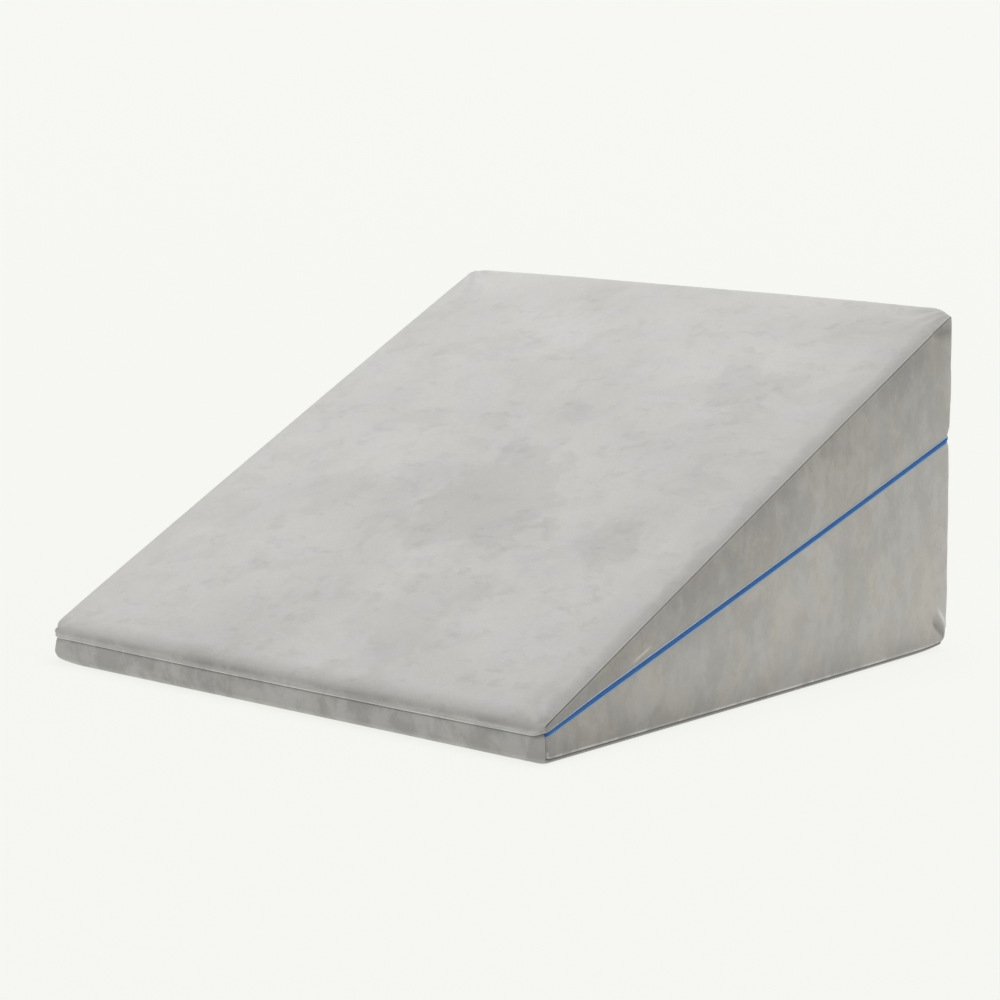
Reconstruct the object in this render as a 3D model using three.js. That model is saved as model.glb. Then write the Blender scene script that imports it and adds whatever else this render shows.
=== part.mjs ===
// A leg support pillow: two filled wedge cushions in soft pile covers, stacked and joined by a zip.
// Millimetres, +Z up. The thin front edge faces -Y, the tall back faces +Y, X runs across.
import * as THREE from "three";
import { mergeVertices } from "three/addons/utils/BufferGeometryUtils.js";

// Outer sizes
const HALF_WIDTH = 305;
const HALF_LENGTH = 305;
const LENGTH = 2 * HALF_LENGTH;
const CORNER = 12; // plan radius of the four upright corners
const GAP = 0.3; // clear space between neighbouring pieces

// Heights over the front edge, and how they change towards the back
const JOINT_FRONT = 24.4; // where the two cushions meet
const JOINT_SLOPE = 0.3;
const JOINT_SAG = 1.2; // the joint hangs this much at half its length
const LIP_SAG = 1.2; // the front fold hangs this much at half its width
const LIP_REACH = 40; // how far back that hang is felt
const TOP_FRONT = 36.6; // the sloping top, carried on to the front edge
const TOP_SLOPE = 0.4856;
const TOP_BOW = 1.2; // lengthwise rise of the top over a straight line
const TOP_CROWN = 2.4; // crosswise rise of the top over its side seams
const CROWN_POWER = 6; // a high power keeps the crown flat in the middle

// Upright faces
const BULGE = 2.2; // the filling pushes each upright face out by this much at half height
const FULL_BULGE = 60; // a thinner cushion bulges less, in proportion
const CORNER_HOLD = 0.5; // share of the bulge that the corners hold back
const HOLD_POWER = 8;
const SEAM_DEPTH = 0.9; // a sewn line is drawn in by this much
const SEAM_HALF = 1.6; // half width of the valley beside a sewn line

// Edge roundings as [run, rise]: run goes in from the upright face, rise goes up or down it.
const SOFT_SEAM = [5, 5];
const GROOVE = [6, 9]; // the edges beside the zip
const NOSE_OVER = [12, 9];
const NOSE_UNDER = [3, 2.5];
const FOLD = [9, 9];
const GROUND_SEAM = [5, 6];
const GROUND_FOLD = [8, 8];
const FRONT_CREASE = [3, 3];
const THIN_SHARE = 0.4; // a side rounding takes at most this share of a cushion's thickness

// Grid lines: listed in the edge zones, even elsewhere
const EDGE_LINES = [0, 4, 7.5, 10, CORNER]; // distance outwards from the zone's inner limit
const CELLS_ACROSS = 10;
const CELLS_ALONG = 14;
const ARC_CELLS = 2; // cells in the upright part of each rounding
const PANEL_CELLS = 3; // cells up an upright face between its seam margins
const LAYERS = PANEL_CELLS + 2 * (ARC_CELLS + 1);
const HALF_TURN_SHARE = Math.tan(Math.PI / 8); // the share of a rise where its rounding is half turned
const MERGE = 1e-3; // points closer than this are one point

const clamp = (value, low, high) => Math.min(high, Math.max(low, value));
const mix = (a, b, share) => a + (b - a) * share;

// Height of the joint between the cushions: a slope, less its own sag and that of the front fold.
function joint(x, y) {
  const run = y + HALF_LENGTH;
  const across = x / HALF_WIDTH;
  const sag = JOINT_SAG * Math.sin((Math.PI * run) / LENGTH);
  const lip = LIP_SAG * (1 - across ** 2) * Math.exp(-((run / LIP_REACH) ** 2));
  return JOINT_FRONT + JOINT_SLOPE * run - sag - lip;
}

// Height of the sloping top: a slope, with a lengthwise bow and a crosswise crown.
function slopingTop(x, y) {
  const run = y + HALF_LENGTH;
  const across = Math.min(1, Math.abs(x) / HALF_WIDTH);
  const bow = TOP_BOW * Math.sin((Math.PI * run) / LENGTH);
  return TOP_FRONT + TOP_SLOPE * run + bow + TOP_CROWN * (1 - across ** CROWN_POWER);
}

// Each cushion: its lower and upper surface, and the roundings of the edges below and above its sides.
// A rounding that holds keeps the side's size right up to the upright seam, so the zip fits beside it.
const UPPER = {
  floor: (x, y) => joint(x, y) + GAP / 2,
  roof: slopingTop,
  below: { side: GROOVE, front: NOSE_UNDER, back: GROOVE, holds: true, sewn: false },
  above: { side: SOFT_SEAM, front: NOSE_OVER, back: FOLD, holds: false, sewn: true },
};
const LOWER = {
  floor: () => 0,
  roof: (x, y) => joint(x, y) - GAP / 2,
  below: { side: GROUND_SEAM, front: GROUND_FOLD, back: GROUND_FOLD, holds: false, sewn: true },
  above: { side: GROOVE, front: FRONT_CREASE, back: GROOVE, holds: true, sewn: false },
};

// Positions of the grid lines from -half to half.
function gridLines(half, cells) {
  const inner = half - CORNER;
  const middle = Array.from({ length: cells - 1 }, (_, i) => mix(-inner, inner, (i + 1) / cells));
  const outer = EDGE_LINES.map((line) => inner + line);
  return [...outer.map((line) => -line).reverse(), ...middle, ...outer];
}

// Run and rise of an edge's rounding, in the direction (dx, dy) from the edge zone's inner limit.
function rounding(edge, dx, dy, thickness) {
  const near = Math.abs(dx);
  const far = Math.abs(dy);
  const blended = far > 0 ? near ** 2 / (near ** 2 + far ** 2) : 1;
  const held = far > 0 ? Math.min(1, near / far) : 1;
  const side = edge.holds ? held : blended;
  const end = dy < 0 ? edge.front : edge.back;
  const sideRise = Math.min(edge.side[1], THIN_SHARE * thickness);
  return { run: mix(end[0], edge.side[0], side), rise: mix(end[1], sideRise, side) };
}

// Heights of a cushion's grid layers over its floor: two roundings, two seam margins and even cells.
function layerHeights(below, above, thickness) {
  const margin = Math.min(SEAM_HALF, (thickness - below - above) / (PANEL_CELLS + 2));
  const low = below + margin;
  const high = thickness - above - margin;
  const panel = Array.from({ length: PANEL_CELLS + 1 }, (_, i) => mix(low, high, i / PANEL_CELLS));
  const halfTurned = 1 - HALF_TURN_SHARE;
  const upper = [thickness - above, thickness - above * halfTurned, thickness];
  return [0, below * halfTurned, below, ...panel, ...upper];
}

// The point of a cushion's surface for the grid lines x and y and one grid layer.
function shell(cushion, x, y, layer) {
  const thickness = cushion.roof(x, y) - cushion.floor(x, y);
  const insideX = clamp(x, CORNER - HALF_WIDTH, HALF_WIDTH - CORNER);
  const insideY = clamp(y, CORNER - HALF_LENGTH, HALF_LENGTH - CORNER);
  const dx = x - insideX;
  const dy = y - insideY;
  const below = rounding(cushion.below, dx, dy, thickness);
  const above = rounding(cushion.above, dx, dy, thickness);
  const heights = layerHeights(below.rise, above.rise, thickness);
  let height = heights[layer];

  // Round the edge: keep the direction from the rounding's centre and bring it on to a quarter ellipse.
  const upper = height > thickness / 2;
  const edge = upper ? above : below;
  let reach = Math.max(Math.abs(dx), Math.abs(dy));
  const out = Math.max(0, reach - (CORNER - edge.run)) / edge.run;
  const past = Math.max(0, edge.rise - (upper ? thickness - height : height)) / edge.rise;
  if (out > 0 && past > 0) {
    const length = Math.hypot(out, past);
    const rounded = edge.rise * (1 - past / length);
    height = upper ? thickness - rounded : rounded;
    reach = CORNER - edge.run + (edge.run * out) / length;
  }

  // Push the upright faces out between their roundings, and draw the sewn lines in.
  const panel = clamp((height - below.rise) / (thickness - below.rise - above.rise), 0, 1);
  const cornerward = Math.min(Math.abs(x / HALF_WIDTH), Math.abs(y / HALF_LENGTH));
  const bulge = BULGE * Math.min(1, thickness / FULL_BULGE) * (1 - CORNER_HOLD * cornerward ** HOLD_POWER);
  reach += bulge * (1 - (2 * panel - 1) ** 2);
  if (isSewn(cushion, dx, dy, layer)) reach -= SEAM_DEPTH;

  const direction = Math.hypot(dx, dy) || 1;
  const px = insideX + (reach * dx) / direction;
  const py = insideY + (reach * dy) / direction;
  const floor = cushion.floor(px, py);
  return [px, py, mix(floor, cushion.roof(px, py), height / thickness)];
}

// Whether a grid point lies on the seam round a side panel: its lower, upper or upright edges.
function isSewn(cushion, dx, dy, layer) {
  const lowSeam = ARC_CELLS;
  const highSeam = LAYERS - ARC_CELLS;
  const onSide = Math.abs(dx) === CORNER;
  if (!onSide || layer < lowSeam || layer > highSeam) return false;
  if (layer === lowSeam) return cushion.below.sewn;
  if (layer === highSeam) return cushion.above.sewn;
  return Math.abs(dy) === CORNER;
}

// One closed surface without the normals and texture coordinates that keep corners apart.
function closed(geometry) {
  geometry.deleteAttribute("normal");
  geometry.deleteAttribute("uv");
  const merged = mergeVertices(geometry, MERGE);
  merged.computeVertexNormals();
  return merged;
}

// A filled cushion: a gridded box whose points are moved on to the cushion's surface.
function cushionGeometry(cushion) {
  const xs = gridLines(HALF_WIDTH, CELLS_ACROSS);
  const ys = gridLines(HALF_LENGTH, CELLS_ALONG);
  const countX = xs.length - 1;
  const countY = ys.length - 1;
  const geometry = new THREE.BoxGeometry(countX, countY, LAYERS, countX, countY, LAYERS);
  const position = geometry.getAttribute("position");
  for (let i = 0; i < position.count; i++) {
    const x = xs[Math.round(position.getX(i) + countX / 2)];
    const y = ys[Math.round(position.getY(i) + countY / 2)];
    const layer = Math.round(position.getZ(i) + LAYERS / 2);
    position.setXYZ(i, ...shell(cushion, x, y, layer));
  }
  return closed(geometry);
}

// Closed zip: sections as rows of depth below the side face and share of the groove's half height.
const TAPE_SECTION = [
  { depth: 1.15, share: 0.5 },
  { depth: 1.15, share: 0.8 },
  { depth: 1.6, share: 1 },
  { depth: 2.2, share: 1 },
  { depth: 2.95, share: 1 },
  { depth: 4.2, share: 1 },
  { depth: 4.2, share: -1 },
  { depth: 2.95, share: -1 },
  { depth: 2.2, share: -1 },
  { depth: 1.6, share: -1 },
  { depth: 1.15, share: -0.8 },
  { depth: 1.15, share: -0.5 },
  { depth: 1.5, share: -0.56 },
  { depth: 2.2, share: -0.67 },
  { depth: 2.95, share: -0.45 },
  { depth: 2.95, share: 0.45 },
  { depth: 2.2, share: 0.67 },
  { depth: 1.5, share: 0.56 },
];
const COIL_SECTION = [
  { depth: 0.5, share: 0 },
  { depth: 0.75, share: 0.22 },
  { depth: 1.5, share: 0.36 },
  { depth: 2.2, share: 0.34 },
  { depth: 2.5, share: 0 },
  { depth: 2.2, share: -0.34 },
  { depth: 1.5, share: -0.36 },
  { depth: 0.75, share: -0.22 },
];

// Stations of the zip's run: from the right front seam round the back to the left front seam.
// Each has its point on the pillow's outline and the outline's outward direction there.
function zipStations() {
  const insideX = HALF_WIDTH - CORNER;
  const insideY = HALF_LENGTH - CORNER;
  const turns = EDGE_LINES.map((line) => Math.atan(line / CORNER));
  const corner = (x, y, angle) => {
    const outX = Math.cos(angle);
    const outY = Math.sin(angle);
    return { x: x + CORNER * outX, y: y + CORNER * outY, outX, outY };
  };
  const front = turns.map((turn) => corner(insideX, -insideY, -turn)).reverse();
  const alongs = gridLines(HALF_LENGTH, CELLS_ALONG).filter((y) => Math.abs(y) < insideY);
  const side = alongs.map((y) => ({ x: HALF_WIDTH, y, outX: 1, outY: 0 }));
  const rear = turns.map((turn) => corner(insideX, insideY, turn));
  const bend = turns.slice(0, -1).map((turn) => corner(insideX, insideY, Math.PI / 2 - turn)).reverse();
  const acrosses = gridLines(HALF_WIDTH, CELLS_ACROSS).filter((x) => x > 0 && x < insideX).reverse();
  const half = acrosses.map((x) => ({ x, y: HALF_LENGTH, outX: 0, outY: 1 }));
  const right = [...front, ...side, ...rear, ...bend, ...half];
  const middle = { x: 0, y: HALF_LENGTH, outX: 0, outY: 1 };
  const left = right.map((station) => ({ ...station, x: -station.x, outX: -station.outX })).reverse();
  return [...right, middle, ...left];
}

// Middle and half height of the groove at a depth below the side face, less the gap to the cloth.
function grooveAt(x, y, depth) {
  const turned = clamp((GROOVE[0] - depth) / GROOVE[0], 0, 1);
  const opening = 1 - Math.sqrt(1 - turned ** 2);
  const riseIn = (cushion) => Math.min(GROOVE[1], THIN_SHARE * (cushion.roof(x, y) - cushion.floor(x, y)));
  const up = riseIn(UPPER) * opening + GAP / 2;
  const down = riseIn(LOWER) * opening + GAP / 2;
  return { middle: joint(x, y) + (up - down) / 2, half: (up + down) / 2 - GAP };
}

// A trim piece laid in the groove: its section carried along the zip's stations.
function zipGeometry(section) {
  const stations = zipStations();
  const steps = stations.length - 1;
  const outline = new THREE.Shape(section.map(({ depth, share }) => new THREE.Vector2(depth, share)));
  const geometry = new THREE.ExtrudeGeometry(outline, { depth: steps, steps, bevelEnabled: false });
  const position = geometry.getAttribute("position");
  for (let i = 0; i < position.count; i++) {
    const station = stations[Math.round(position.getZ(i))];
    const depth = position.getX(i);
    const x = station.x - station.outX * depth;
    const y = station.y - station.outY * depth;
    const { middle, half } = grooveAt(x, y, depth);
    position.setXYZ(i, x, y, middle + half * position.getY(i));
  }
  return closed(geometry);
}

const COVER = { color: 0xbdbcb9, roughness: 0.95 };
const ZIP_BLUE = { color: 0x2d68b0, roughness: 0.6 };

// A named piece with a material of its own.
function piece(name, geometry, look) {
  const mesh = new THREE.Mesh(geometry, new THREE.MeshStandardMaterial({ name, ...look }));
  mesh.name = name;
  return mesh;
}

const pillow = new THREE.Group();
pillow.name = "leg_support_pillow";
pillow.add(piece("upper_wedge", cushionGeometry(UPPER), COVER));
pillow.add(piece("lower_wedge", cushionGeometry(LOWER), COVER));
pillow.add(piece("zip_tape", zipGeometry(TAPE_SECTION), ZIP_BLUE));
pillow.add(piece("zip_coil", zipGeometry(COIL_SECTION), ZIP_BLUE));

// The front bulges less than the tall back, so the pillow is centred on the frame's origin at the end.
const extent = new THREE.Box3().setFromObject(pillow);
pillow.position.y = -(extent.min.y + extent.max.y) / 2;

export default pillow;
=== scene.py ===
"""Finish of a leg support pillow: two filled wedge cushions in velour covers, joined by a blue zip.

Metres, +Z up. The thin front edge faces -Y, the tall back faces +Y, X runs across.
Shapes are worked out in the pillow's own frame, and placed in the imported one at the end.
"""

import math

import bmesh
import bpy
import numpy as np
from bpy.props import FloatProperty, FloatVectorProperty, IntProperty, PointerProperty
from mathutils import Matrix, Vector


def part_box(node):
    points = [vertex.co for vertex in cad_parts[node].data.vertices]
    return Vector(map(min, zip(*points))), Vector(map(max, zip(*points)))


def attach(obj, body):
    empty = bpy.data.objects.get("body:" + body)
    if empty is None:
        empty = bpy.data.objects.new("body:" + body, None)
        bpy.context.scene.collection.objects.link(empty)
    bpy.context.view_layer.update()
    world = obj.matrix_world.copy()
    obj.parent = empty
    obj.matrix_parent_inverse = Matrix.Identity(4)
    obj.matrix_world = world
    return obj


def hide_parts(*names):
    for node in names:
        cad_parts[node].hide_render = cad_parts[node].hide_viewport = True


bl_info = {
    "name": "Leg support pillow",
    "version": (1, 0, 0),
    "blender": (4, 5, 0),
    "location": "3D View > Sidebar > Pillow",
    "description": "Makes the covers, the zip and the studio of a two-part wedge pillow",
    "category": "Add Mesh",
}

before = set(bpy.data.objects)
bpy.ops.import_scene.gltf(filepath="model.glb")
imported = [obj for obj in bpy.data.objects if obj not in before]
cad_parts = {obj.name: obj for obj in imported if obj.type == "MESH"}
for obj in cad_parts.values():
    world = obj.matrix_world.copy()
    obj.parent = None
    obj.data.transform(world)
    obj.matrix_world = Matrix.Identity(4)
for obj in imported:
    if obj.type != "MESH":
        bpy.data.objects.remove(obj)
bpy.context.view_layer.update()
BODY = "root"
TINY = 1e-12  # least divisor


# Sizes and colours that a user may change

def length_setting(name, description, default):
    return FloatProperty(name=name, description=description, default=default, unit="LENGTH")


def number_setting(name, description, default):
    return FloatProperty(name=name, description=description, default=default)


def share_setting(name, description, default):
    return FloatProperty(name=name, description=description, default=default, subtype="FACTOR")


def angle_setting(name, description, degrees):
    return FloatProperty(name=name, description=description, default=math.radians(degrees), subtype="ANGLE")


def colour_setting(name, description, default):
    return FloatVectorProperty(
        name=name, description=description, default=default, subtype="COLOR", min=0, max=1)


class PillowSizes(bpy.types.PropertyGroup):
    """Outer sizes of the pillow and the depths of its sewn lines."""

    half_width: length_setting("Half width", "From the middle to a side face", 0.305)
    half_length: length_setting("Half length", "From the middle to the front or back", 0.305)
    corner: length_setting("Corner radius", "Plan radius of the upright corners", 0.012)
    gap: length_setting("Gap", "Clear space between neighbouring pieces", 0.0003)
    joint_front: length_setting("Joint height", "Height of the joint at the front", 0.0244)
    joint_slope: number_setting("Joint slope", "Rise of the joint for each metre of run", 0.3)
    joint_sag: length_setting("Joint sag", "Hang of the joint at half its length", 0.0012)
    lip_sag: length_setting("Lip sag", "Hang of the front fold at half its width", 0.0012)
    lip_reach: length_setting("Lip reach", "How far back the front fold's hang is felt", 0.04)
    top_front: length_setting("Top height", "Sloping top, carried on to the front", 0.0366)
    top_slope: number_setting("Top slope", "Rise of the top for each metre of run", 0.4856)
    top_bow: length_setting("Top bow", "Lengthwise rise over a straight line", 0.0012)
    top_crown: length_setting("Top crown", "Crosswise rise over the side seams", 0.0024)
    bulge: length_setting("Bulge", "How far the filling pushes an upright face out", 0.0022)
    full_bulge: length_setting("Full bulge height", "A thinner cushion bulges less", 0.06)
    seam_depth: length_setting("Seam depth", "How far a sewn line is drawn in", 0.0010)
    cell: length_setting("Cell", "Mesh cells in the middle of a cover", 0.0065)


class CoverLook(bpy.types.PropertyGroup):
    """Colours and pile of the velour covers."""

    # Light and dark nap: the pile's own tones, and also the two ends of the painted light and shade that the
    # velour's share carries
    light_nap: colour_setting("Light nap", "Pile that leans towards the light", (0.665, 0.660, 0.640))
    dark_nap: colour_setting("Dark nap", "Pile that leans away from the light", (0.405, 0.398, 0.382))
    # Side panels: the cloth's own warm cast, and painted shade that makes the upright faces darker than the
    # top
    side_shade_and_tint: colour_setting(
        "Side tone", "Tint of the side panels, whose pile runs upright", (0.79, 0.775, 0.752))
    # Painted shade: in the sewn lines over partly pressed pile, and in dents, beside the top's right seam,
    # near the ground, under the front lip and below the ground seam
    seam_shade: colour_setting("Seam shade", "Pile that is pressed into a sewn line", (0.17, 0.165, 0.157))
    # Painted highlight on rolled edges: over the ground seam, over the front crease, on the back corners and
    # on the roll over a dent
    painted_highlight: colour_setting("Edge nap", "Pile that stands up along a rolled edge", (0.80, 0.79, 0.76))
    warm_tint: colour_setting("Warm tint", "Cast of some patches of the pile", (1.0, 0.985, 0.955))
    cool_tint: colour_setting("Cool tint", "Cast of the patches between them", (0.982, 0.975, 0.995))
    # Painted highlight along the fold beside the zip
    fold_light: colour_setting("Fold light", "Pile that stands up along a fold", (0.62, 0.58, 0.54))
    sheen_tint: colour_setting("Sheen tint", "Colour of the pile's sheen", (0.94, 0.95, 0.96))
    sheen: share_setting("Sheen", "Strength of the pile's sheen", 0.25)


class ZipLook(bpy.types.PropertyGroup):
    """Colours and pitch of the zip."""

    tape: colour_setting("Tape", "Woven tape", (0.048, 0.215, 0.56))
    # Painted highlight on the tape's edges
    tape_light: colour_setting("Tape's edge", "Edge of the tape that catches the light", (0.60, 0.80, 1.0))
    # Darker between the ribs, painted shade of the weave, and where the tape is worn
    tape_dark: colour_setting("Tape valleys", "Between the ribs of the tape", (0.028, 0.13, 0.37))
    teeth: colour_setting("Teeth", "Moulded coil", (0.06, 0.22, 0.55))
    pitch: length_setting("Pitch", "From one tooth to the next", 0.0009)


class StudioLook(bpy.types.PropertyGroup):
    """Floor, light and camera."""

    floor: colour_setting("Floor", "Plain pale floor", (0.862, 0.868, 0.828))
    floor_light: colour_setting("Floor light", "The light table's own light", (0.816, 0.823, 0.786))
    floor_share: share_setting("Floor share", "Share of the floor's colour that the lights still shade", 0.1)
    backdrop: colour_setting(
        "Backdrop", "What the camera sees past the floor's far edge", (0.922, 0.930, 0.888))
    sky: colour_setting("Sky", "Colour of the all-round light", (0.985, 0.99, 1.0))
    sky_strength: number_setting("Sky strength", "All-round light", 0.37)
    key_strength: number_setting("Key strength", "Soft light from above", 2.25)
    side_strength: number_setting("Side strength", "Soft light from the right", 0.12)
    rim_strength: number_setting("Rim strength", "Soft light from behind", 0.35)
    azimuth: angle_setting("Azimuth", "Camera's turn to the right of the front", 40.888)
    elevation: angle_setting("Elevation", "Camera's height as an angle", 9.7)
    distance: length_setting("Distance", "From the camera to its target", 3.0464)
    target: FloatVectorProperty(
        name="Target", description="Point in the middle of the picture",
        default=(0.00023, -0.00697, 0.1517), subtype="XYZ")
    lens: number_setting("Lens", "Focal length in millimetres", 115.48)
    floor_size: IntProperty(name="Floor size", description="Side of the floor in metres", default=160)


# Short tables and bells

def table(columns, *rows):
    """Rows of values under named columns."""
    names = columns.split()
    return [dict(zip(names, row)) for row in rows]


def column(rows, name):
    return np.array([row[name] for row in rows])


def bell(value, half, middle=0.0):
    """One at the middle, and 1 / e at a half width to either side of it."""
    return np.exp(-(((value - middle) / half) ** 2))


# Surfaces of the pillow, as heights over the floor

CROWN_POWER = 6  # a high power keeps the crown flat in the middle


def joint_height(x, y, s):
    """A slope, less a half sine wave of sag, less the front's sag: a parabola across, and a bell along."""
    run = y + s.half_length
    sag = s.joint_sag * np.sin(np.pi * run / (2 * s.half_length))
    lip = s.lip_sag * (1 - (x / s.half_width) ** 2) * bell(run, s.lip_reach)
    return s.joint_front + s.joint_slope * run - sag - lip


def top_height(x, y, s):
    """A slope, plus a half sine wave of bow, plus a crown that falls with a high power of the way across."""
    run = y + s.half_length
    across = np.minimum(1, np.abs(x) / s.half_width)
    bow = s.top_bow * np.sin(np.pi * run / (2 * s.half_length))
    return s.top_front + s.top_slope * run + bow + s.top_crown * (1 - across ** CROWN_POWER)


# Edge roundings as (run, rise): run goes in from the upright face, rise goes up or down it
SOFT_SEAM = (0.009, 0.005)
GROOVE = (0.006, 0.009)
GROOVE_OVER = (0.006, 0.011)
NOSE_OVER = (0.012, 0.009)
NOSE_UNDER = (0.0009, 0.0008)
FOLD = (0.012, 0.012)
GROUND_SEAM = (0.008, 0.0045)
GROUND_FOLD = (0.010, 0.008)
FRONT_CREASE = (0.0009, 0.0009)
THIN_SHARE = 0.4  # a side rounding takes at most this share of a cushion's thickness
TAPER_REACH = 0.006  # how far back from the front a side rounding's taper is felt
CORNER_HOLD = 0.5  # share of the bulge that the corners hold back
HOLD_POWER = 8


def edge_shape(side, front, back, holds=False, sewn=False, taper=0.0):
    """Roundings of one rim of a cushion: whether its corners hold the side's, whether its sides are sewn,
    and how much the side's rise grows at the front.
    """
    return {"side": side, "front": front, "back": back, "holds": holds, "sewn": sewn, "taper": taper}


UPPER = {
    "floor": lambda x, y, s: joint_height(x, y, s) + s.gap / 2,
    "roof": top_height,
    "crowd": 1.5,
    "below": edge_shape(GROOVE_OVER, NOSE_UNDER, GROOVE_OVER, holds=True),
    "above": edge_shape(SOFT_SEAM, NOSE_OVER, FOLD, sewn=True, taper=0.0024),
}
LOWER = {
    "floor": lambda x, y, s: np.zeros_like(x),
    "roof": lambda x, y, s: joint_height(x, y, s) - s.gap / 2,
    "crowd": -1.6,
    "below": edge_shape(GROUND_SEAM, GROUND_FOLD, GROUND_FOLD, sewn=True),
    "above": edge_shape(GROOVE, FRONT_CREASE, GROOVE, holds=True),
}


# The grid of a cover: the skin of a box lattice

EDGE_LINES = (0, 0.13, 0.26, 0.38, 0.46, 0.52, 0.555, 0.577, 0.6, 0.64, 0.7, 0.78, 0.86, 0.93, 1)
SEAM_TURN = math.pi / 6  # the upright seams lie this far round the corners from the side face
TURN_SLACK = 0.001
# Spacing of the lines over the middle, as shares of the cell, at places from the middle
ACROSS = table("at share", (-0.293, 0.3), (-0.2, 1), (0.2, 1), (0.293, 0.26))
ALONG = table("at share", (-0.293, 0.28), (-0.27, 0.46), (-0.2, 1), (0.2, 1), (0.25, 0.42), (0.293, 0.24))
SPACING_SPOTS = 4001  # places where the spacing is worked out
SEAM_MARGINS = (0.0006, 0.0016, 0.0032)  # distances of the grid lines beside a seam
MARGIN_ROOM = 0.012  # a lower panel has its margins drawn together
SHORTEST_SEAM = 0.004  # a side panel lower than this has no upright seam
ARC_CELLS = 6
PANEL_CELLS = 30


def grid_lines(half, corner, cell, spacing):
    """The corner's shares at both ends; between them, equal steps of the running total of 1 / spacing."""
    inner = half - corner
    spots = np.linspace(-inner, inner, SPACING_SPOTS)
    steps = cell * np.interp(spots, column(spacing, "at"), column(spacing, "share"))
    total = np.concatenate([[0], np.cumsum(np.diff(spots) * (1 / steps[1:] + 1 / steps[:-1]) / 2)])
    middle = np.interp(np.linspace(0, total[-1], round(total[-1]) + 1), total, spots)[1:-1]
    outer = inner + corner * np.array(EDGE_LINES)
    return np.concatenate([-outer[::-1], middle, outer])


def layer_table(crowd):
    """Four shares for each grid layer, from the floor up.

    A layer's height is below times the lower rounding's rise, plus above times the upper one's,
    plus panel times the upright height between them, plus margin times the margins' own scale.
    In the roundings the layers lie at equal angles from 45 degrees down to the seam. The layers of a
    panel crowd towards its top, or its bottom where crowd is negative.
    """
    turn = np.tan(np.pi / 4 * np.arange(ARC_CELLS + 1) / ARC_CELLS)
    even = np.linspace(0, 1, PANEL_CELLS + 1)
    even = 1 - (1 - even) ** crowd if crowd > 0 else even ** -crowd
    near, last = np.array(SEAM_MARGINS[:-1]), SEAM_MARGINS[-1]
    none, one = np.zeros_like, np.ones_like
    below = np.concatenate([1 - turn[::-1], one(near), one(even), one(near), one(turn)])
    above = np.concatenate([none(turn), none(near), none(even), none(near), turn])
    panel = np.concatenate([none(turn), none(near), even, one(near), one(turn)])
    margin = np.concatenate([none(turn), near, last * (1 - 2 * even), -near[::-1], none(turn)])
    return {"below": below, "above": above, "panel": panel, "margin": margin}


def lattice_skin(count_x, count_y, count_z):
    """The lattice indices of a box's outer points, and the outward quads that join them."""
    skin = np.zeros((count_x, count_y, count_z), bool)
    skin[[0, -1]] = skin[:, [0, -1]] = skin[:, :, [0, -1]] = True
    index = np.full(skin.shape, -1)
    index[skin] = np.arange(skin.sum())

    def quads(sheet, turned):
        corners = [sheet[:-1, :-1], sheet[1:, :-1], sheet[1:, 1:], sheet[:-1, 1:]]
        found = np.stack(corners, -1).reshape(-1, 4)
        return found[:, ::-1] if turned else found

    sheets = [
        quads(index[:, :, -1], False),
        quads(index[:, :, 0], True),
        quads(index[:, 0, :], False),
        quads(index[:, -1, :], True),
        quads(index[0, :, :], True),
        quads(index[-1, :, :], False),
    ]
    return np.nonzero(skin), np.concatenate(sheets)


def rounding(edge, dx, dy, thickness, run_back):
    """Run and rise of an edge's rounding in the direction (dx, dy) from the corner's centre.

    The side's values and the end's are mixed by the direction; an edge that holds keeps the side's
    up to 45 degrees. The side's rise is at most a share of the thickness, and grows at the front by
    the taper, as a bell of the run from there.
    """
    near, far = np.abs(dx), np.abs(dy)
    blended = np.where(far > 0, near ** 2 / np.maximum(near ** 2 + far ** 2, TINY), 1)
    held = np.where(far > 0, np.minimum(1, near / np.maximum(far, TINY)), 1)
    side = held if edge["holds"] else blended
    end_run = np.where(dy < 0, edge["front"][0], edge["back"][0])
    end_rise = np.where(dy < 0, edge["front"][1], edge["back"][1])
    side_rise = np.minimum(edge["side"][1], THIN_SHARE * thickness)
    side_rise = side_rise + edge["taper"] * bell(run_back, TAPER_REACH)
    run = end_run + (edge["side"][0] - end_run) * side
    rise = end_rise + (side_rise - end_rise) * side
    return run, rise


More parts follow.
